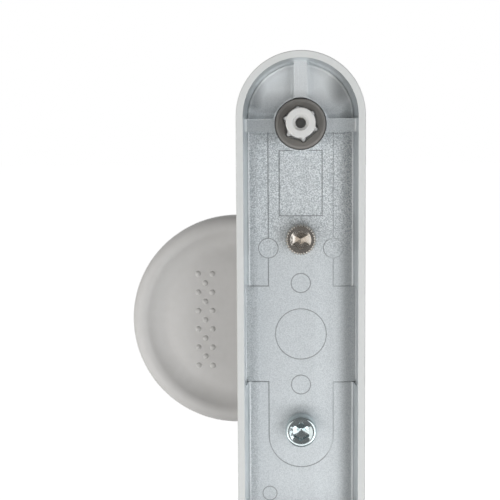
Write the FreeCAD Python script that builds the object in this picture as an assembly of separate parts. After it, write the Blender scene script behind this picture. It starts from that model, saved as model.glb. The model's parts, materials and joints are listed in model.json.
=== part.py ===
import FreeCAD, Part
import os
from math import cos, hypot, pi, radians, sin, sqrt, tan

# Door pull: a long hollow cast plate that is screwed to a door from the other side,
# and a cast grip whose broad rounded tongue stands off the plate to one side.
#
# Frame, in millimetres: the door plane is Y = 0 and the room is at +Y, +Z is up, and +X is
# to the right for someone who looks at the back of the plate. The origin is the middle of
# the plate on the door plane, half way between the two door fixings.

# Backplate
plate_length = 179.0
plate_width = 40.0
plate_depth = 15.0
plate_floor = 3.0            # thickness of the front wall
plate_rim = 2.2              # thickness of the side wall at the door
pocket_draft = 0.8           # how far each inside wall leans in from rim to floor
pocket_fillet = 1.0
front_edge_radius = 2.5
rim_edge_chamfer = 0.25

# Ribs that tie each fixing boss to the walls
rib_width = 4.2
cross_rib_height = 3.0
end_rib_height = 5.5         # the rib that runs on from the boss to the round end
cross_rib_drop = 0.4         # the cross rib sits this much nearer the plate's middle than the boss

# Middle stretch of the pocket, formed by its own die insert with upright walls
insert_half_length = 15.6
insert_wall_gap = 0.1        # its wall stands this far inside the rim's inner edge

# Witness lines that die inserts and ejector pins leave on the cast floor
line_width = 0.32
line_depth = 0.25
ring_depth = 0.12            # the pins' rings and the core's round end are fainter
core_half_width = 10.4       # narrow core block beside and below the middle insert
core_end_centre = 33.3
ejector_height = 27.8
ejector_radius = 3.15
pin_height = 16.55
pin_radius = 3.1
centre_pin_radius = 8.2
small_pin_radius = 2.3
small_pin_place = (-10.2, -52.6)
label_width = 13.7
label_low = 38.2
label_high = 59.0

# Door fixings: one collar and one sleeve near each end of the plate
fixing_setback = 22.2        # from each end of the plate to its fixing
collar_diameter = 15.9
collar_hole = 10.4           # hexagon across flats, with a corner for each fin
collar_proud = 4.0           # the collar's lip above the cast floor
collar_dish = 2.0
collar_dish_floor = 8.0      # the dish would be flat inside this diameter
collar_lip = 0.9
collar_edge_radius = 0.45
collar_clearance = 0.05      # over the sleeve's flange
boss_clearance = 0.25        # dark gap round the collar in its boss
boss_lip = 0.75
boss_height = 3.3
seat_sink = 1.0              # how far the sleeve's seat is sunk into the floor
sleeve_diameter = 9.1
sleeve_proud = 5.0           # how far the sleeve reaches past the door plane, into the door
sleeve_flange_diameter = 14.4
sleeve_flange_thickness = 1.6
sleeve_edge_radius = 0.35
sleeve_hole = 3.3            # core of the M4 thread
sleeve_hole_depth = 9.0
sleeve_mouth = 5.0           # the hole's mouth flares to this diameter
sleeve_mouth_depth = 1.6
fin_count = 6
fin_reach = 5.75             # from the sleeve's middle to the fin's tip, at its foot
fin_head_reach = 4.85        # the same at its upper end
fin_width = 1.9              # where its foot leaves the sleeve
fin_tip_width = 0.6
fin_sink = 0.8               # how far it starts inside the sleeve
fin_stop = 0.9               # the fins end this far under the sleeve's end
fin_turn = 40.5              # degrees from +X to the first fin

# Grip screws, M6 socket head
screw_spacing = 61.7
screw_diameter = 5.9         # the thread as a plain cylinder
screw_length = 16.0
screw_head_diameter = 10.0
screw_head_height = 6.0
screw_head_radius = 0.85
screw_key = 5.0
screw_key_depth = 3.2
screw_key_cone = 1.3
screw_key_turn = 30.0        # a flat of the socket to the left and one to the right
upper_mouth = 6.8            # the socket's mouth flares to this diameter
lower_mouth = 7.5
mouth_slope = 30.0           # degrees from the head's top face
screw_tip_chamfer = 0.8
screw_clearance = 0.05       # shank in the grip's tapped hole
plate_hole_diameter = 6.6
tapped_hole_spare = 1.5      # how far the tapped hole runs on past the screw

# Grip: a strip with rolled rims that rises from the plate, bends and ends in a half round tongue
grip_radius = 36.8
grip_centre = 22.45          # from the plate's centre line to the tongue's round centre
grip_standoff = 43.0         # door plane to the finger side of the tongue
grip_thickness = 10.0
grip_bend = 7.0              # inside radius of the bend
crown_flat = 15.5            # half width of the finger side's flat middle
crown_radius = 35.0          # curve that falls away from it
groove_radius = 7.8
bead_radius = 3.6            # the strip's rolled rim
bead_rise = 1.4              # how far the rim stands out over the crown, towards the door
back_edge_radius = 4.0
foot_width = 21.0
foot_length = 88.0
foot_thickness = 4.0
foot_edge_radius = 1.5
foot_root_radius = 2.0

# Raised tactile dots on the finger side, a plain repeating trellis
dot_rows = 11
dot_row_pitch = 3.25
dot_column_pitch = 2.5
dot_offset = 11.05           # from the tongue's centre to the middle column
dot_diameter = 2.0
dot_height = 0.7

floor_y = plate_depth - plate_floor
seat_y = floor_y + seat_sink
end_centre = plate_length / 2 - plate_width / 2
fixing_z = plate_length / 2 - fixing_setback
rib_z = fixing_z - cross_rib_drop
screw_z = screw_spacing / 2
pocket_width = plate_width - 2 * plate_rim
pocket_floor_width = pocket_width - 2 * pocket_draft
grip_front = grip_standoff + grip_thickness
bead_y = grip_standoff - bead_rise + bead_radius
bend_x = -grip_thickness / 2 - grip_bend
bend_y = grip_standoff - grip_bend

along_y = FreeCAD.Vector(0, 1, 0)


def at(x, y, z):
    return FreeCAD.Vector(x, y, z)


def line(a, b):
    return Part.LineSegment(a, b).toShape()


def arc(a, middle, b):
    return Part.Arc(a, middle, b).toShape()


def box(x0, x1, y0, y1, z0, z1):
    return Part.makeBox(x1 - x0, y1 - y0, z1 - z0, at(x0, y0, z0))


def rod(diameter, y0, y1, x=0.0, z=0.0):
    return Part.makeCylinder(diameter / 2, y1 - y0, at(x, y0, z), along_y)


def cone(diameter0, diameter1, y0, y1, x=0.0, z=0.0):
    return Part.makeCone(diameter0 / 2, diameter1 / 2, y1 - y0, at(x, y0, z), along_y)


def turned(points, x=0.0, z=0.0):
    """Solid of revolution about the line through (x, z) along Y, from (radius, y) corners."""
    corners = [at(x + r, y, z) for r, y in points]
    face = Part.Face(Part.makePolygon(corners + corners[:1]))
    return face.revolve(at(x, 0, z), along_y, 360)


def stadium(width, length, y):
    """Upright outline with two straight sides and two round ends, at depth y."""
    r = width / 2
    h = length / 2 - r
    return Part.Wire([
        line(at(r, y, -h), at(r, y, h)),
        arc(at(r, y, h), at(0, y, h + r), at(-r, y, h)),
        line(at(-r, y, h), at(-r, y, -h)),
        arc(at(-r, y, -h), at(0, y, -h - r), at(r, y, -h)),
    ])


def stadium_block(width, length, y0, y1):
    return Part.Face(stadium(width, length, y0)).extrude(at(0, y1 - y0, 0))


def edges_at(shape, y):
    """Edges that lie wholly in the plane at depth y."""
    return [e for e in shape.Edges if abs(e.BoundBox.YMin - y) < 1e-4 and abs(e.BoundBox.YMax - y) < 1e-4]


def pocket():
    """Space that is cast out of the plate, as a solid to cut with."""
    ends = 2 * end_centre
    mouth = stadium(pocket_width, ends + pocket_width, 0)
    base = stadium(pocket_floor_width, ends + pocket_floor_width, floor_y)
    space = Part.makeLoft([mouth, base], True, True)
    space = space.makeFillet(pocket_fillet, edges_at(space, floor_y))
    half = pocket_width / 2 - insert_wall_gap
    upright = box(-half, half, 0, floor_y, -insert_half_length, insert_half_length)
    return space.fuse(upright)


def boss_and_ribs(up):
    """Round boss at one fixing, with ribs to both side walls and to the round end."""
    z = up * fixing_z
    boss = rod(collar_diameter + 2 * boss_lip, floor_y - boss_height, floor_y + plate_floor / 2, 0, z)
    buried = plate_width / 2 - plate_rim / 2
    low = floor_y + plate_floor / 2
    top = floor_y - cross_rib_height
    across = box(-buried, buried, top, low, up * rib_z - rib_width / 2, up * rib_z + rib_width / 2)
    end = up * (end_centre + buried)
    top = floor_y - end_rib_height
    upright = box(-rib_width / 2, rib_width / 2, top, low, min(z, end), max(z, end))
    return boss.fuse([across, upright])


def groove_line(x0, z0, x1, z1):
    """Fine straight groove in the cast floor, as a solid to cut with."""
    half = line_width / 2
    xs = sorted((x0, x1))
    zs = sorted((z0, z1))
    return box(xs[0] - half, xs[1] + half, floor_y, floor_y + line_depth, zs[0] - half, zs[1] + half)


def groove_ring(radius, x, z):
    """Fine round groove in the cast floor, as a solid to cut with."""
    outer = rod(2 * radius + line_width, floor_y, floor_y + ring_depth, x, z)
    return outer.cut(rod(2 * radius - line_width, floor_y - 1, floor_y + 1, x, z))


def witness_lines():
    """Fine lines of die inserts and ejector pins on the floor, as solids to cut with."""
    wall = pocket_width / 2 - insert_wall_gap - line_width
    top = rib_z - rib_width / 2
    cuts = []
    for side in (-1, 1):
        x = side * core_half_width
        cuts.append(groove_line(x, insert_half_length, x, ejector_height - ejector_radius))
        cuts.append(groove_line(x, ejector_height + ejector_radius, x, top))
        cuts.append(groove_line(x, insert_half_length, side * wall, insert_half_length))
        cuts.append(groove_line(x, -insert_half_length, side * wall, -insert_half_length))
        cuts.append(groove_line(x, -insert_half_length, x, -core_end_centre))
        cuts.append(groove_line(side * label_width / 2, label_low, side * label_width / 2, label_high))
        cuts.append(groove_ring(ejector_radius, x, ejector_height))
        cuts.append(groove_ring(pin_radius, 0, side * pin_height))
    for z in (label_low, label_high):
        cuts.append(groove_line(-label_width / 2, z, label_width / 2, z))
    cuts.append(groove_ring(centre_pin_radius, 0, 0))
    cuts.append(groove_ring(small_pin_radius, *small_pin_place))
    reach = core_half_width + 1
    below = box(-reach, reach, floor_y - 1, floor_y + 1, -core_end_centre - reach, -core_end_centre)
    cuts.append(groove_ring(core_half_width, 0, -core_end_centre).common(below))
    return cuts


def backplate():
    body = stadium_block(plate_width, plate_length, 0, plate_depth)
    body = body.makeFillet(front_edge_radius, edges_at(body, plate_depth))
    body = body.makeChamfer(rim_edge_chamfer, edges_at(body, 0))
    body = body.cut(pocket())
    body = body.fuse([boss_and_ribs(1), boss_and_ribs(-1)])
    cuts = witness_lines()
    for up in (-1, 1):
        cuts.append(rod(collar_diameter + 2 * boss_clearance, 0, seat_y, 0, up * fixing_z))
        cuts.append(rod(plate_hole_diameter, 0, plate_depth + 1, 0, up * screw_z))
    return body.cut(cuts).removeSplitter()


def hexagon(across_flats, y0, y1, z, turn):
    """Six-sided block with its first corner turned this many degrees from +X towards +Z."""
    r = across_flats / sqrt(3)
    angles = [radians(turn) + i * pi / 3 for i in range(6)]
    corners = [at(r * cos(a), y0, z + r * sin(a)) for a in angles]
    return Part.Face(Part.makePolygon(corners + corners[:1])).extrude(at(0, y1 - y0, 0))


def collar(up):
    """Dished ring that holds the sleeve's flange down in the boss."""
    z = up * fixing_z
    r = collar_diameter / 2
    top = floor_y - collar_proud
    base = seat_y - sleeve_flange_thickness
    dish = (collar_dish_floor / 2, top + collar_dish)
    ring = turned([(0, dish[1]), dish, (r - collar_lip, top), (r, top), (r, base), (0, base)], 0, z)
    rims = [e for e in edges_at(ring, top) if abs(e.Curve.Radius - r) < 1e-4]
    ring = ring.makeFillet(collar_edge_radius, rims)
    ring = ring.cut(hexagon(collar_hole, top, base, z, fin_turn))
    skirt = rod(collar_diameter, base, seat_y, 0, z)
    skirt = skirt.cut(rod(sleeve_flange_diameter + 2 * collar_clearance, base, seat_y, 0, z))
    return ring.fuse(skirt).removeSplitter()


def fin(angle, low, high, z):
    """One tapered crush fin: a wedge that leans in towards the sleeve's end."""
    skin = sleeve_diameter / 2
    flank = (fin_width - fin_tip_width) / 2 / (fin_reach - skin)
    side = fin_width / 2 + flank * fin_sink
    tip = fin_tip_width / 2
    outlines = []
    for y, reach in ((low, fin_reach), (high, fin_head_reach)):
        root = reach - fin_reach + skin - fin_sink
        corners = [at(root, y, -side), at(reach, y, -tip), at(reach, y, tip), at(root, y, side)]
        outlines.append(Part.makePolygon(corners + corners[:1]))
    wedge = Part.makeLoft(outlines, True, True)
    wedge.rotate(at(0, 0, 0), along_y, -angle)
    wedge.translate(at(0, 0, z))
    return wedge


def sleeve(up):
    """Flanged sleeve that stands in the collar and takes the door screw."""
    z = up * fixing_z
    end = -sleeve_proud
    flange_y = seat_y - sleeve_flange_thickness
    body = rod(sleeve_diameter, end, seat_y, 0, z)
    body = body.makeFillet(sleeve_edge_radius, edges_at(body, end))
    fins = [fin(fin_turn + i * 360 / fin_count, flange_y, end + fin_stop, z) for i in range(fin_count)]
    body = body.fuse(fins + [rod(sleeve_flange_diameter, flange_y, seat_y, 0, z)])
    body = body.cut(rod(sleeve_hole, end, end + sleeve_hole_depth, 0, z))
    return body.cut(cone(sleeve_mouth, sleeve_hole, end, end + sleeve_mouth_depth, 0, z)).removeSplitter()


def grip_screw(z, mouth):
    top = floor_y - screw_head_height
    head = rod(screw_head_diameter, top, floor_y, 0, z)
    head = head.makeFillet(screw_head_radius, edges_at(head, top))
    tip = floor_y + screw_length
    straight = tip - screw_tip_chamfer
    shank = rod(screw_diameter, floor_y, straight, 0, z)
    point = cone(screw_diameter, screw_diameter - 2 * screw_tip_chamfer, straight, tip, 0, z)
    body = head.fuse([shank, point])
    flat = top + screw_key_depth
    key = hexagon(screw_key, top, flat, z, screw_key_turn)
    pit = hexagon(screw_key, flat, flat + screw_key_cone, z, screw_key_turn)
    drilled = cone(screw_key * 2 / sqrt(3), 0, flat, flat + screw_key_cone, 0, z)
    flare = cone(mouth, 0, top, top + mouth / 2 * tan(radians(mouth_slope)), 0, z)
    return body.cut([key, pit.common(drilled), flare]).removeSplitter()


def groove_centre():
    """Centre of the groove's arc, as (radius, y): it touches the crown's arc and the bead's arc."""
    crown = (crown_flat, grip_standoff + crown_radius)
    bead = (grip_radius - bead_radius, bead_y)
    reach_crown = crown_radius + groove_radius
    reach_bead = bead_radius + groove_radius
    dx = bead[0] - crown[0]
    dy = bead[1] - crown[1]
    gap = hypot(dx, dy)
    along = (reach_crown ** 2 - reach_bead ** 2 + gap ** 2) / (2 * gap)
    off = sqrt(reach_crown ** 2 - along ** 2)
    return crown[0] + (along * dx + off * dy) / gap, crown[1] + (along * dy - off * dx) / gap


def between(centre, other, radius):
    """Point on the circle about centre, towards the other point."""
    away = hypot(other[0] - centre[0], other[1] - centre[1])
    return tuple(c + radius * (o - c) / away for c, o in zip(centre, other))


def arc_middle(centre, radius, a, b):
    """Point half way along the short arc from a to b."""
    return between(centre, ((a[0] + b[0]) / 2, (a[1] + b[1]) / 2), radius)


def section_edges(place):
    """Half of the strip's section, from its middle out to its side and back, put in space."""
    crown_mid = (crown_flat, grip_standoff + crown_radius)
    groove_mid = groove_centre()
    bead_mid = (grip_radius - bead_radius, bead_y)
    back_mid = (grip_radius - back_edge_radius, grip_front - back_edge_radius)
    start = (crown_flat, grip_standoff)
    shoulder = between(crown_mid, groove_mid, crown_radius)
    rise = between(bead_mid, groove_mid, bead_radius)
    side = (grip_radius, bead_y)
    side_end = (grip_radius, back_mid[1])
    back = (back_mid[0], grip_front)
    crest = (bead_mid[0], bead_y - bead_radius)
    crown = arc_middle(crown_mid, crown_radius, start, shoulder)
    groove = arc_middle(groove_mid, groove_radius, shoulder, rise)
    edge = arc_middle(back_mid, back_edge_radius, side_end, back)
    return [
        line(place(0, grip_standoff), place(*start)),
        arc(place(*start), place(*crown), place(*shoulder)),
        arc(place(*shoulder), place(*groove), place(*rise)),
        arc(place(*rise), place(*crest), place(*side)),
        line(place(*side), place(*side_end)),
        arc(place(*side_end), place(*edge), place(*back)),
        line(place(*back), place(0, grip_front)),
    ]


def strip_section(x):
    """Closed section of the strip across its length, at place x."""
    upper = section_edges(lambda r, y: at(x, y, r))
    lower = section_edges(lambda r, y: at(x, y, -r))
    return Part.Face(Part.Wire(Part.__sortEdges__(upper + lower)))


def crown_depth(radius):
    """Depth of the finger side at this distance from the tongue's centre, inside the groove."""
    fall = max(0.0, radius - crown_flat)
    return grip_standoff + crown_radius - sqrt(crown_radius ** 2 - fall ** 2)


def tongue():
    """Straight stretch from the bend, and the half round end turned about its centre."""
    half = section_edges(lambda r, y: at(0, y, r))
    half.append(line(at(0, grip_front, 0), at(0, grip_standoff, 0)))
    end = Part.Face(Part.Wire(Part.__sortEdges__(half))).revolve(at(0, 0, 0), along_y, -180)
    end.translate(at(-grip_centre, 0, 0))
    straight = strip_section(-grip_centre).extrude(at(grip_centre + bend_x, 0, 0))
    return straight.fuse(end)


def dots():
    """Raised dots in rows of two and one by turns, seated on the curved finger side."""
    ball = (dot_height ** 2 + (dot_diameter / 2) ** 2) / (2 * dot_height)
    balls = []
    for row in range(dot_rows):
        z = (row - (dot_rows - 1) / 2) * dot_row_pitch
        columns = (0,) if row % 2 else (-1, 1)
        for column in columns:
            out = dot_offset + column * dot_column_pitch
            y = crown_depth(hypot(out, z)) - dot_height + ball
            balls.append(Part.makeSphere(ball, at(-grip_centre - out, y, z)))
    return balls


def grip():
    bend = strip_section(bend_x).revolve(at(bend_x, bend_y, 0), at(0, 0, 1), -90)
    foot_top = plate_depth + foot_thickness
    leg_top = strip_section(bend_x)
    leg_top.rotate(at(bend_x, bend_y, 0), at(0, 0, 1), -90)
    leg = leg_top.extrude(at(0, foot_top - bend_y - foot_thickness / 2, 0))
    foot = stadium_block(foot_width, foot_length, plate_depth, foot_top)
    foot = foot.makeFillet(foot_edge_radius, edges_at(foot, foot_top))
    base = leg.fuse(foot).removeSplitter()
    inside = foot_width / 2 - foot_edge_radius - 0.1
    root = [e for e in edges_at(base, foot_top) if max(abs(e.BoundBox.XMin), abs(e.BoundBox.XMax)) < inside]
    base = base.makeFillet(foot_root_radius, root)
    body = base.fuse([bend, tongue()]).removeSplitter()
    body = body.fuse(dots())
    hole = screw_diameter + 2 * screw_clearance
    bottom = floor_y + screw_length + tapped_hole_spare
    for up in (-1, 1):
        body = body.cut([
            rod(hole, plate_depth, bottom, 0, up * screw_z),
            cone(hole, 0, bottom, bottom + hole / 2 / sqrt(3), 0, up * screw_z),
        ])
    return body


nodes = {
    "backplate": backplate(),
    "grip": grip(),
    "upper_grip_screw": grip_screw(screw_z, upper_mouth),
    "lower_grip_screw": grip_screw(-screw_z, lower_mouth),
    "upper_collar": collar(1),
    "lower_collar": collar(-1),
    "upper_sleeve": sleeve(1),
    "lower_sleeve": sleeve(-1),
}

os.makedirs("parts", exist_ok=True)
for name, shape in nodes.items():
    solids = shape.Solids
    print(name, len(solids), "solid", shape.isValid(), "volume", round(shape.Volume, 1), "mm3")
    if len(solids) == 1:
        shape = solids[0]
    shape.exportStep(f"parts/{name}.step")
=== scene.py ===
# %% [markdown]
# # A door pull seen from its door side
#
# The real object is a long hollow zinc casting that is screwed to a door from the other side, and a
# half round grip that stands off it. The solids come from the CAD model as a fixed frame, so nothing
# here moves or resizes them. Blender's share is what the eye reads as material: the powder coat, the
# blasted metal inside the pocket, the moulded plastic and the two bright screws.

# %% Load the frame
import json
from functools import reduce
from math import cos, pi, radians, sin, sqrt, tan

import bmesh
import bpy
from mathutils import Euler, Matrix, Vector

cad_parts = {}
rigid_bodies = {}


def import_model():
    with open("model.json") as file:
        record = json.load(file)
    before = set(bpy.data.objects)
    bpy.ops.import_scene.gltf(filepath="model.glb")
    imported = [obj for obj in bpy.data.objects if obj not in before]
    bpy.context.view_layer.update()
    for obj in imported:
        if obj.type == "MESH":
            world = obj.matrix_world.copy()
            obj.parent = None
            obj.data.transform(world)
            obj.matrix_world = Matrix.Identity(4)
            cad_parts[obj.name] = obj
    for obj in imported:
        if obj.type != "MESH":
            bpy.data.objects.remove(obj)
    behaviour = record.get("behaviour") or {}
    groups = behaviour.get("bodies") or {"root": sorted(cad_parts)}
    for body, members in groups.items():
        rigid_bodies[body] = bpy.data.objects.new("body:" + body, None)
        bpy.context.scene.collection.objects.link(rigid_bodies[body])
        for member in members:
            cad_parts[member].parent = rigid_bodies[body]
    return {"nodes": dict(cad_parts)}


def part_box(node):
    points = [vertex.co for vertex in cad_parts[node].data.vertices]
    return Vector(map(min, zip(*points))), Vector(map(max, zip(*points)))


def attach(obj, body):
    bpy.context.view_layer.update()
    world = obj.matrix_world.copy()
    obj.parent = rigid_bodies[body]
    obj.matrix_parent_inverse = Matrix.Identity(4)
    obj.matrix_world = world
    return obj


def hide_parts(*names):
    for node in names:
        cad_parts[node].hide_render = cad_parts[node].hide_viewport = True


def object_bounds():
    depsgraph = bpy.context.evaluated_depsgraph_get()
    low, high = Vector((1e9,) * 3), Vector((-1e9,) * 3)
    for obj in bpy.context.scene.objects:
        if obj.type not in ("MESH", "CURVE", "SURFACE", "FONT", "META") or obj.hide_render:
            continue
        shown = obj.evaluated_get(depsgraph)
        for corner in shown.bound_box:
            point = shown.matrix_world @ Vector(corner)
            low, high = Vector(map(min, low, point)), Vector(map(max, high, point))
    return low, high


for leftover in list(bpy.data.objects):
    bpy.data.objects.remove(leftover)

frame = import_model()
parts = frame["nodes"]
cad_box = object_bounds()
mm = 0.001
print("CAD pieces:", ", ".join(sorted(parts)))
print("CAD box in mm:", [tuple(round(value / mm, 1) for value in corner) for corner in cad_box])

# %% [markdown]
# ## Small tools
#
# Colours are easiest to read as the hex values of a picture editor, but Cycles counts in linear light,
# so one function turns the first into the second. Material trees are long when every node is written
# out by hand, so a second function adds a node, sets it up and links it in one line. The others are
# built on that one, for what nearly every material here needs: cloudy noise, a blend of two colours or
# values, a range, small bumps, and the surface that closes the tree.

# %% Colour and node tools
def linear(hex_colour):
    """Turns #RRGGBB as seen on a screen into the linear colour that a shader wants."""
    seen = [int(hex_colour[i:i + 2], 16) / 255 for i in (1, 3, 5)]
    light = [c / 12.92 if c <= 0.04045 else ((c + 0.055) / 1.055) ** 2.4 for c in seen]
    return (*light, 1.0)


def add(tree, kind, inputs=None, **settings):
    """Adds a node. Each input gets a value, or a link from a socket or from a node's first output."""
    new = tree.nodes.new(kind)
    for name, value in settings.items():
        setattr(new, name, value)
    for name, value in (inputs or {}).items():
        if isinstance(name, int):
            socket = new.inputs[name]
        else:
            socket = next(s for s in new.inputs if s.name == name and s.enabled)
        if isinstance(value, bpy.types.Node):
            value = next(s for s in value.outputs if s.enabled)
        if isinstance(value, bpy.types.NodeSocket):
            tree.links.new(value, socket)
        else:
            socket.default_value = value
    return new


def new_tree(name):
    """An empty material, and the place on the object in metres as a socket."""
    material = bpy.data.materials.new(name)
    material.use_nodes = True
    tree = material.node_tree
    tree.nodes.clear()
    return material, tree, add(tree, "ShaderNodeTexCoord").outputs["Object"]


def noise(tree, place, size, detail=2.0, roughness=0.5):
    """Cloudy noise from 0 to 1, with lumps about so many mm apart."""
    return add(tree, "ShaderNodeTexNoise", {
        "Vector": place, "Scale": 1 / (size * mm), "Detail": detail, "Roughness": roughness})


def blend(tree, factor, first, second, kind="RGBA"):
    """Runs from the first to the second with the factor. A colour may be given as hex."""
    first, second = [linear(end) if isinstance(end, str) else end for end in (first, second)]
    return add(tree, "ShaderNodeMix", {"Factor": factor, "A": first, "B": second}, data_type=kind)


def between(tree, factor, low, high):
    """A value that runs from low to high while the factor runs from 0 to 1."""
    return add(tree, "ShaderNodeMapRange", {"Value": factor, "To Min": low, "To Max": high})


def bumps(tree, height, rise, strength=1.0):
    """Unevenness that only the light feels, as high as the rise in mm."""
    return add(tree, "ShaderNodeBump", {"Height": height, "Strength": strength, "Distance": rise * mm})


def close(tree, inputs):
    """Closes a tree with one Principled shader that gets these inputs."""
    shader = add(tree, "ShaderNodeBsdfPrincipled", inputs)
    add(tree, "ShaderNodeOutputMaterial", {"Surface": shader})


print("mid grey #808080 is", [round(c, 3) for c in linear("#808080")[:3]], "in linear light")

# %% [markdown]
# ## Camera
#
# The photograph was taken from about 34 cm with a long lens, a little above the middle of the grip.
# A camera model was fitted to the plate's edges, the screw heads and the tongue's outline, and these
# are its place, its turn and its focal length. With them the render lands on the photograph.

# %% Camera
camera_place = (-1.13, -337.40, 56.09)  # mm
camera_turn = (85.283, 0.331, 2.458)  # degrees
camera_data = bpy.data.cameras.new("photo_camera")
camera_data.sensor_width = 36.0
camera_data.lens = 78.58
camera_data.clip_start = 0.01
camera = bpy.data.objects.new("photo_camera", camera_data)
camera.location = Vector(camera_place) * mm
camera.rotation_euler = Euler([radians(a) for a in camera_turn])
bpy.context.scene.collection.objects.link(camera)
bpy.context.scene.camera = camera
print("camera at", [round(v / mm, 1) for v in camera.location], "mm")

# %% [markdown]
# ## Light
#
# The screws are small mirrors, and they show the studio. Their round edges carry one broad white patch
# to the left and one to the right, the flat crest that looks at the camera is dark, and so are the
# parts that look up. The floor above each screw lies in its shadow. So one softbox stood to the left and
# reached far round the object, a brighter and narrower one stood to the right, a long one lay low in
# front, and nothing bright stood above or at the camera. Area lamps do the same here. A lamp's power in
# watts for a given brightness grows with its area, so the brightness is the number to choose, with 1
# for white.

# %% Softboxes
def softbox(name, round_to, up_to, size, brightness, colour):
    """A lamp one metre from the handle, at angles in degrees to the right of the camera and up."""
    flat = cos(radians(up_to))
    place = Vector((sin(radians(round_to)) * flat, -cos(radians(round_to)) * flat, sin(radians(up_to))))
    lamp = bpy.data.lights.new(name, "AREA")
    lamp.shape = "RECTANGLE"
    lamp.size, lamp.size_y = size
    lamp.energy = brightness * pi * lamp.size * lamp.size_y
    lamp.color = linear(colour)[:3]
    holder = bpy.data.objects.new(name, lamp)
    holder.location = place
    holder.rotation_euler = place.to_track_quat("Z", "Y").to_euler()
    holder.visible_camera = False
    bpy.context.scene.collection.objects.link(holder)
    print(name, round(lamp.energy, 1), "W")


softbox("softbox_left", round_to=-62, up_to=-10, size=(2.1, 1.24), brightness=1.01, colour="#FFFDFA")
softbox("softbox_right", round_to=38, up_to=-10, size=(0.80, 1.24), brightness=1.66, colour="#FBFDFF")
softbox("softbox_low", round_to=0, up_to=-32, size=(2.2, 0.44), brightness=1.2, colour="#FFFFFF")

# %% [markdown]
# ## White backdrop
#
# The photograph's background is pure white, while the half of the studio round the camera is dim. The
# world is both. For what the camera sees it is white, through the Light Path node, and metal and glass
# see the same white behind the object. All other light from the world is dim.

# %% World
dim_strength = 0.18
behind_from = 0.3  # how far a direction points away from the camera, with 1 for straight away
world = bpy.data.worlds.new("studio")
bpy.context.scene.world = world
world.use_nodes = True
sky = world.node_tree
sky.nodes.clear()
ray = add(sky, "ShaderNodeLightPath")
towards = add(sky, "ShaderNodeTexCoord").outputs["Generated"]
towards = add(sky, "ShaderNodeSeparateXYZ", {0: towards})
behind = add(sky, "ShaderNodeMath", {0: towards.outputs["Y"], 1: behind_from}, operation="GREATER_THAN")
mirrored = add(sky, "ShaderNodeMath", {
    0: ray.outputs["Is Glossy Ray"], 1: ray.outputs["Is Transmission Ray"]}, operation="MAXIMUM")
mirrored = add(sky, "ShaderNodeMath", {0: mirrored, 1: behind}, operation="MULTIPLY")
shows_white = add(sky, "ShaderNodeMath", {
    0: ray.outputs["Is Camera Ray"], 1: mirrored}, operation="MAXIMUM")
dim = add(sky, "ShaderNodeBackground", {"Color": linear("#FFFFFF"), "Strength": dim_strength})
white = add(sky, "ShaderNodeBackground", {"Color": linear("#FFFFFF"), "Strength": 1.0})
studio = add(sky, "ShaderNodeMixShader", {0: shows_white, 1: dim, 2: white})
add(sky, "ShaderNodeOutputWorld", {"Surface": studio})
bpy.context.scene.view_settings.view_transform = "Standard"
print("the backdrop is white, and the world lights the object at", dim_strength)

# %% [markdown]
# ## Floor
#
# The handle stands on its lower end on a plain pale floor. In the photograph nothing pale lies under
# the object, so the floor is kept out of the reflections and lets the softboxes' lower parts shine
# past. For the camera it glows a little, so that it meets the white backdrop with no edge, but where
# the handle shades it, it still darkens.

# %% Floor
floor_reach = 30.0  # metres to each side, so that its edge is out of sight
floor_glow = 0.85
floor_mesh = bpy.data.meshes.new("studio_floor")
shape = bmesh.new()
bmesh.ops.create_grid(shape, x_segments=8, y_segments=8, size=floor_reach)
bmesh.ops.translate(shape, verts=shape.verts, vec=(0, 0, cad_box[0].z))
shape.to_mesh(floor_mesh)
shape.free()
floor = bpy.data.objects.new("studio_floor", floor_mesh)
floor.visible_glossy = False
floor.visible_diffuse = False
floor.visible_shadow = False
bpy.context.scene.collection.objects.link(floor)
floor_finish, tree, place = new_tree("pale_studio_floor")
tone = blend(tree, noise(tree, place, 8, detail=3.0), "#F4F4F3", "#EFEFEE")
matt = add(tree, "ShaderNodeBsdfDiffuse", {"Color": tone})
ray = add(tree, "ShaderNodeLightPath")
glow = add(tree, "ShaderNodeEmission", {"Color": linear("#FFFFFF"), "Strength": floor_glow})
unlit = add(tree, "ShaderNodeEmission", {"Color": linear("#000000"), "Strength": 0.0})
glow = add(tree, "ShaderNodeMixShader", {0: ray.outputs["Is Camera Ray"], 1: unlit, 2: glow})
both = add(tree, "ShaderNodeAddShader", {0: matt, 1: glow})
add(tree, "ShaderNodeOutputMaterial", {"Surface": both})
floor_mesh.materials.append(floor_finish)
print("floor at height", round(cad_box[0].z / mm, 1), "mm")

# %% [markdown]
# ## Powder coat over cast zinc
#
# The plate is a zinc die casting. Outside it is powder coated: a baked polyester skin, pale grey and
# satin, with the faint waves called orange peel, about 2.5 mm apart, and a grain of 0.3 mm. The pocket
# is masked while the coat goes on, so inside the bare casting shows: blasted metal, blue-grey, with
# a grain of a third of a millimetre that sparkles where the light comes in low.
#
# Both finishes sit on one casting, so one shader mixes them. A mask from the place on the object tells
# inside from outside: near the middle line, behind the rim, in front of the far wall. Most masks here
# are soft steps along one direction. Where two masks overlap, the larger one counts, and where one
# limits another, they are multiplied. Small functions for these keep the masks readable.

# %% Where the casting is bare
pocket_half = 17.8  # mm from the middle line to the pocket's wall
round_end = 69.5  # mm from the middle to where the straight sides end
floor_depth = 12.0  # mm from the door plane to the pocket's floor


def calc(operation, first, second):
    """One sum on two values or masks, in the tree at hand."""
    return add(tree, "ShaderNodeMath", {0: first, 1: second}, operation=operation)


def step(value, start, end, low=0.0, high=1.0):
    """A soft step from low to high while the value runs from start to end, in mm."""
    return add(tree, "ShaderNodeMapRange", {
        "Value": value, "From Min": start * mm, "From Max": end * mm, "To Min": low, "To Max": high},
        interpolation_type="SMOOTHSTEP")


def away(value, start):
    """How far a value is from the start in mm, on either side of it."""
    return calc("ABSOLUTE", calc("SUBTRACT", value, start * mm), 0.0)


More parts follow.
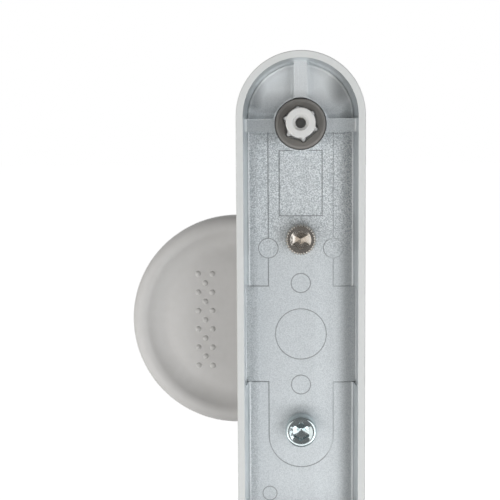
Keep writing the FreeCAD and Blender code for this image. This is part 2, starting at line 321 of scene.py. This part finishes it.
def largest(*masks):
    """The strongest of several masks at each place."""
    return reduce(lambda first, second: calc("MAXIMUM", first, second), masks)


def product(*masks):
    """Masks that limit each other."""
    return reduce(lambda first, second: calc("MULTIPLY", first, second), masks)


plate_finish, tree, place = new_tree("powder_coat_over_cast_zinc")
side, depth, along = add(tree, "ShaderNodeSeparateXYZ", {0: place}).outputs
height = calc("ABSOLUTE", along, 0.0)
past_end = calc("MAXIMUM", calc("SUBTRACT", height, round_end * mm), 0.0)
across = add(tree, "ShaderNodeCombineXYZ", {"X": side, "Y": past_end})
across = add(tree, "ShaderNodeVectorMath", {0: across}, operation="LENGTH").outputs["Value"]
near = calc("LESS_THAN", across, (pocket_half + 0.5) * mm)
in_front = calc("LESS_THAN", depth, (floor_depth + 1.5) * mm)
bare = product(near, in_front, step(depth, 0.05, 0.35))
print("the casting is bare up to", pocket_half, "mm from the middle line")

# %% [markdown]
# ## Painted light and shade on the metal
#
# The metal's colour carries painted shade and a painted highlight. The floor is painted darker towards
# both walls as painted shade. It also has a painted shadow round the fixings, a painted shade line at
# the foot of the cross rib, and a slight painted shade over its left half. The round ends were polished
# in the die and carry its streaks. Their colour is painted brighter as a painted highlight, and painted
# darker towards the wall and up to the rim, except where the middle rib meets it. The walls were rubbed
# smooth when the casting slid off the die's core, and their pale colour is a painted highlight. The
# bottoms of the fine lines are painted dark as painted shade. Only one half of the floor is coarse.

# %% Painted shade and highlight on the metal
rib_low, rib_high = 64.35, 69.9  # mm from the middle to the edges of the cross rib
middle_half = 15.7  # mm, half the middle stretch, where the pocket is a little wider
middle_step = 0.7  # mm, how much wider it is on each side

# Painted shade on the floor: along both walls and in the round ends, a painted shadow round the fixings,
# a painted shade line at the foot of the cross rib, and a slight painted shade over the left half.
left_wall_shade_and_coarse = step(side, -12.0, -16.5, 0.0, 0.32)
right_wall_shade = step(side, 11.0, 15.8, 0.0, 0.48)
left_end_shade = product(step(side, -9.0, -15.0, 0.0, 0.58), step(height, 70.0, 73.5))
right_end_shade = product(step(side, 6.5, 13.0, 0.0, 0.60), step(height, 70.0, 77.0))
wall_side_shade = product(largest(left_wall_shade_and_coarse, right_wall_shade, left_end_shade, right_end_shade), step(depth, 9.6, 10.6))
past_rib = step(away(height, rib_high), 0.3, 1.6)
fixing_shadow = product(step(height, 59.5, 63.5), step(height, 80.0, 75.0), past_rib)
fixing_shadow = product(fixing_shadow, step(side, -10.0, 10.0, 0.28, 0.16))
rib_foot_shade = step(away(height, rib_low), 0.15, 0.5, 0.40, 0.0)
left_half_shade = step(side, 2.0, 7.0, 0.08, 0.0)
painted_floor_shade = largest(wall_side_shade, fixing_shadow, rib_foot_shade, left_half_shade)

# The walls, with the foot of the straight ones; the foot is given the walls' pale colour as a painted
# highlight.
narrow = step(height, middle_half - 0.2, middle_half + 0.2)
beyond = add(tree, "ShaderNodeMath", {
    0: narrow, 1: middle_step * mm, 2: across}, operation="MULTIPLY_ADD")
wall_foot_highlight = product(step(across, 16.25, 16.6, 0.0, 0.35), step(depth, 10.9, 11.1))
wall_foot_highlight = product(wall_foot_highlight, narrow, step(height, 70.0, 69.0))
wall = largest(step(beyond, pocket_half - 0.25, pocket_half - 0.1), wall_foot_highlight)
off_wall = calc("SUBTRACT", 1.0, wall)

# Painted shade in the round ends, at the wall's foot and higher up on the wall, but not beside the
# middle rib.
end_foot_shade = product(step(height, 71.0, 76.0), step(across, 13.2, 16.9, 0.0, 0.22), off_wall)
end_wall_shade = product(step(height, 72.0, 84.0, 0.05, 0.34), step(depth, 9.5, 4.0))
end_wall_shade = product(end_wall_shade, wall, step(height, 70.5, 72.0))
beside_rib = step(calc("ABSOLUTE", side, 0.0), 1.6, 3.6, 0.35, 1.0)
end_shade = product(largest(end_foot_shade, end_wall_shade), beside_rib)

# What the metal below takes: the painted shade, painted shade in the bottoms of the fine lines, a
# painted highlight in the round ends and on the walls, where the walls are rubbed smooth, and where the
# floor is coarse.
dark = largest(product(painted_floor_shade, off_wall), end_shade)
line = product(
    step(depth, floor_depth + 0.01, floor_depth + 0.12, 0.0, 0.45), step(side, 8.0, 9.5, 1.0, 0.35))
rubbed_wall_and_highlight = product(wall, step(height, 69.0, 70.0, 1.0, 0.4))
painted_end_highlight = product(step(height, 71.0, 77.0, 0.0, 0.8), step(depth, 6.0, 9.0, 0.8, 1.0))
pale = largest(painted_end_highlight, rubbed_wall_and_highlight)
smooth = largest(step(height, 64.6, 65.4), wall)
coarse = largest(left_wall_shade_and_coarse, step(along, 20.0, 38.0, 0.0, 0.7))
coarse = product(coarse, calc("SUBTRACT", 1.0, smooth))
print("the shades of the metal need", len(tree.nodes), "nodes")

# %% Blasted metal inside
grain_size = 0.33  # mm
grain = noise(tree, place, grain_size, roughness=0.6)
stretched = add(tree, "ShaderNodeMapping", {"Vector": place, "Scale": (1.0, 0.3, 0.08)})
streaks = noise(tree, stretched, 0.5)

# Coarse metal has stronger flecks. Both ends move, so the mean brightness stays.
fleck = add(tree, "ShaderNodeMapRange", {
    "Value": grain, "From Min": 0.38, "From Max": 0.62,
    "To Min": between(tree, coarse, 0.4, 0.0), "To Max": between(tree, coarse, 0.6, 1.0)})
metal_colour = blend(tree, fleck, "#F6FAFC", "#AFB6BA")
# Painted highlight in the round ends and on the walls, painted shade on the floor, and painted shade in
# the fine lines.
metal_colour = blend(tree, pale, metal_colour, "#F7FAFB")
metal_colour = blend(tree, dark, metal_colour, "#3E4244")
metal_colour = blend(tree, line, metal_colour, "#4A4F52")
metal_rough = add(tree, "ShaderNodeMapRange", {
    "Value": grain, "From Min": 0.3, "From Max": 0.7, "To Min": 0.50, "To Max": 0.60})
metal_rough = blend(tree, rubbed_wall_and_highlight, metal_rough, 0.3, "FLOAT")
relief = blend(tree, smooth, grain, streaks, "FLOAT")
metal_bump = bumps(tree, relief, 0.2, strength=between(tree, coarse, 0.35, 1.0))
print("blasted grain every", grain_size, "mm")

# %% Powder coat outside
def powder_coat(tree, place):
    """What all powder coats share: orange peel, a fine dust grain, and the bumps of both."""
    peel = noise(tree, place, 2.5, detail=1.0)
    dust = noise(tree, place, 0.3)
    return peel, dust, bumps(tree, blend(tree, 0.25, peel, dust, "FLOAT"), 0.02)


peel, dust, coat_bump = powder_coat(tree, place)
coat_colour = blend(tree, peel, "#E4E6E5", "#DEE0DF")
close(tree, {
    "Base Color": blend(tree, bare, coat_colour, metal_colour),
    "Metallic": bare,
    "Roughness": blend(tree, bare, 0.48, metal_rough, "FLOAT"),
    "Normal": blend(tree, bare, coat_bump, metal_bump, "VECTOR")})
print(plate_finish.name, "has", len(tree.nodes), "nodes")

# %% [markdown]
# ## Powder coat on the grip
#
# The grip is the same kind of casting and is coated all over, a shade warmer. Its coat is a little
# smoother, so the softbox draws one wide soft light along the crown's shoulder, and its gloss wanders
# with the fine grain.

# %% Grip material
grip_finish, tree, place = new_tree("warm_grey_powder_coat")
peel, dust, coat_bump = powder_coat(tree, place)
close(tree, {
    "Base Color": blend(tree, peel, "#DFDEDD", "#D9D8D6"),
    "Roughness": between(tree, dust, 0.40, 0.48),
    "Normal": coat_bump})
print(grip_finish.name, "has", len(tree.nodes), "nodes")

# %% [markdown]
# ## Moulded plastic
#
# The collar and the sleeve are injection moulded polyamide, which is nylon. The collar is filled and
# dark, with the matt bloom of a spark eroded mould, grains of about 0.2 mm. The sleeve is natural
# nylon, pale and a little translucent, so a touch of light scatters under its skin.

# %% Plastic materials
nylon_ior = 1.53

collar_finish, tree, place = new_tree("dark_moulded_polyamide")
spark = noise(tree, place, 0.2)
bloom = noise(tree, place, 3)
close(tree, {
    "Base Color": blend(tree, bloom, "#86837F", "#7A7773"),
    "Roughness": between(tree, bloom, 0.42, 0.55),
    "IOR": nylon_ior,
    "Normal": bumps(tree, spark, 0.01)})

sleeve_finish, tree, place = new_tree("natural_moulded_polyamide")
spark = noise(tree, place, 0.25)
bloom = noise(tree, place, 2)
close(tree, {
    "Base Color": blend(tree, bloom, "#E6E6E4", "#DCDCDA"),
    "Roughness": between(tree, spark, 0.38, 0.50),
    "IOR": nylon_ior,
    "Normal": bumps(tree, spark, 0.01),
    "Subsurface Weight": 0.35,
    "Subsurface Radius": (1.0, 0.95, 0.9),
    "Subsurface Scale": 1.5 * mm})
print("plastics:", collar_finish.name, "and", sleeve_finish.name)

# %% [markdown]
# ## Screw metals
#
# The upper screw is stainless steel, a warm grey that tumbling leaves slightly uneven. The lower one
# is plain steel under a thin bright layer of zinc with a blue passivation, colder and shinier. Both
# heads were pressed cold, so their faces carry shallow dents about a millimetre apart.

# %% Screw materials
def pressed_metal(name, light, dark, smooth, rough, dent):
    """Bright screw metal: its tint and gloss wander, and dents as deep as dent in mm bend the light."""
    material, tree, place = new_tree(name)
    dents = noise(tree, place, 1.1)
    fine = noise(tree, place, 0.15)
    close(tree, {
        "Base Color": blend(tree, dents, light, dark),
        "Metallic": 1.0,
        "Roughness": between(tree, fine, smooth, rough),
        "Normal": bumps(tree, blend(tree, 0.2, dents, fine, "FLOAT"), dent)})
    return material


stainless = pressed_metal("tumbled_stainless_steel", "#DCD6CE", "#C0B9B0", 0.12, 0.22, 0.010)
zinc_plated = pressed_metal("blue_passivated_zinc_plate", "#DDE7E8", "#C9D6D9", 0.08, 0.18, 0.016)
print("screw metals:", stainless.name, "and", zinc_plated.name)

# %% [markdown]
# ## Socket head screws
#
# A cap screw is a body of rotation with details that a plain cylinder lacks: a hexagon socket, a thread
# and, on the upper screw, a knurl round the head. All of them are only a radius that depends on the
# angle, so the mesh is a stack of rings, and each ring may be round, six-sided, knurled or threaded.
# Both screws take their place and length from the CAD screws, which they stand for. The upper one's
# socket ends in six facets, the lower one's in a drilled cone.

# %% Screw builder
head_radius = 5.0 * mm
head_height = 6.0 * mm
under_edge = 0.5 * mm
knurl_depth = 0.40 * mm
key_half = 2.5 * mm
key_depth = 3.2 * mm
drill_radius = 0.6 * mm
drill_depth = 1.3 * mm
shank_radius = 2.95 * mm
thread_length = 12.0 * mm
thread_depth = 0.6 * mm
thread_pitch = 1.0 * mm
thread_start = 0.3 * mm
tip_edge = 0.8 * mm
edge_rows = 6  # rings round the head's upper edge
pitch_rows = 6  # rings for each turn of the thread


def screw_radius(kind, radius, angle, y, teeth):
    """Radius of one ring at one angle. The hexagon has a flat to the left and one to the right."""
    if kind == "hexagon":
        return key_half / cos((angle + pi / 6) % (pi / 3) - pi / 6)
    if kind == "knurl" and teeth:
        return radius - knurl_depth * abs(2 * ((angle * teeth / (2 * pi)) % 1.0) - 1)
    if kind == "thread":
        turn = (y / thread_pitch - angle / (2 * pi)) % 1.0
        return radius - thread_depth * min(1.0, max(0.0, 1.6 * abs(2 * turn - 1) - 0.3))
    return radius


def screw_rings(top, tip, mouth, edge, teeth):
    """The rings of a screw from its socket's bottom round the head to the tip: kind, radius, depth."""
    seat = top + head_height
    flat = top + key_depth
    corner = key_half * 2 / sqrt(3)
    flare = tan(radians(30))
    rings = [("hexagon", 0.0, flat)]
    if not teeth:
        rings = [("round", drill_radius, flat + drill_depth * 0.79)]
        rings.append(("hexagon", 0.0, flat + drill_depth * 0.07))
    rings.append(("hexagon", 0.0, top + (mouth - key_half) * flare))
    rings.append(("round", corner, top + (mouth - corner) * flare))
    rings.append(("round", mouth, top))
    for row in range(edge_rows + 1):
        turn = row / edge_rows * pi / 2
        kind = "knurl" if row > 0 else "round"
        rings.append((kind, head_radius - edge + edge * sin(turn), top + edge - edge * cos(turn)))
    rings.append(("knurl", head_radius, seat - under_edge))
    rings.append(("round", head_radius - under_edge * 0.7, seat - under_edge * 0.24))
    rings.append(("round", head_radius - under_edge, seat))
    rings.append(("round", shank_radius, seat))
    thread_to = tip - tip_edge
    thread_from = tip - thread_length
    rings.append(("round", shank_radius, thread_from - thread_start))
    rows = int((thread_to - thread_from) / (thread_pitch / pitch_rows))
    for row in range(rows + 1):
        rings.append(("thread", shank_radius, thread_from + row * (thread_to - thread_from) / rows))
    rings.append(("round", shank_radius - tip_edge, tip))
    return rings


def socket_screw(name, node, mouth, edge, teeth):
    """A cap screw in place of a CAD screw, with its socket's mouth, its head's edge and its knurl."""
    low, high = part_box(node)
    middle = (low + high) / 2
    rings = screw_rings(low.y, high.y, mouth, edge, teeth)
    socket_bottom = low.y + key_depth + drill_depth

    # Six points for each tooth, and a plain head counts as 36. Both give the hexagon's corners a point.
    around = 6 * (teeth or 36)
    shape = bmesh.new()
    loops = []
    for kind, radius, y in rings:
        loop = []
        for i in range(around):
            angle = 2 * pi * i / around
            r = screw_radius(kind, radius, angle, y, teeth)
            loop.append(shape.verts.new((middle.x + r * cos(angle), y, middle.z + r * sin(angle))))
        loops.append(loop)
    for inner, outer in zip(loops, loops[1:]):
        for i in range(around):
            j = (i + 1) % around
            shape.faces.new((inner[i], inner[j], outer[j], outer[i]))
    for loop, y in ((loops[0], socket_bottom), (loops[-1], high.y)):
        tip = shape.verts.new((middle.x, y, middle.z))
        for i in range(around):
            shape.faces.new((loop[i], loop[(i + 1) % around], tip))
    bmesh.ops.recalc_face_normals(shape, faces=shape.faces)
    mesh = bpy.data.meshes.new(name)
    shape.to_mesh(mesh)
    shape.free()
    mesh.shade_smooth()
    mesh.set_sharp_from_angle(angle=radians(20))
    screw = bpy.data.objects.new(name, mesh)
    bpy.context.scene.collection.objects.link(screw)
    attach(screw, "root")
    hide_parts(node)
    print(name, "has", len(mesh.vertices), "points")
    return screw


upper_screw = socket_screw("knurled_cap_screw", "upper_grip_screw", 3.3 * mm, 0.8 * mm, 30)
lower_screw = socket_screw("plain_cap_screw", "lower_grip_screw", 3.75 * mm, 0.85 * mm, 0)
upper_screw.data.materials.append(stainless)
lower_screw.data.materials.append(zinc_plated)

# %% [markdown]
# ## Dress the CAD pieces
#
# The castings and the plastic pieces already have the right shape, so they stay as they are and only
# get their finish.

# %% Finishes
finishes = {
    "backplate": plate_finish,
    "grip": grip_finish,
    "upper_collar": collar_finish,
    "lower_collar": collar_finish,
    "upper_sleeve": sleeve_finish,
    "lower_sleeve": sleeve_finish,
}
for name, finish in finishes.items():
    parts[name].data.materials.clear()
    parts[name].data.materials.append(finish)
    print(name, "wears", finish.name)

# %% [markdown]
# ## Finish
#
# The view layer is updated once more.

# %% Finish
bpy.context.view_layer.update()
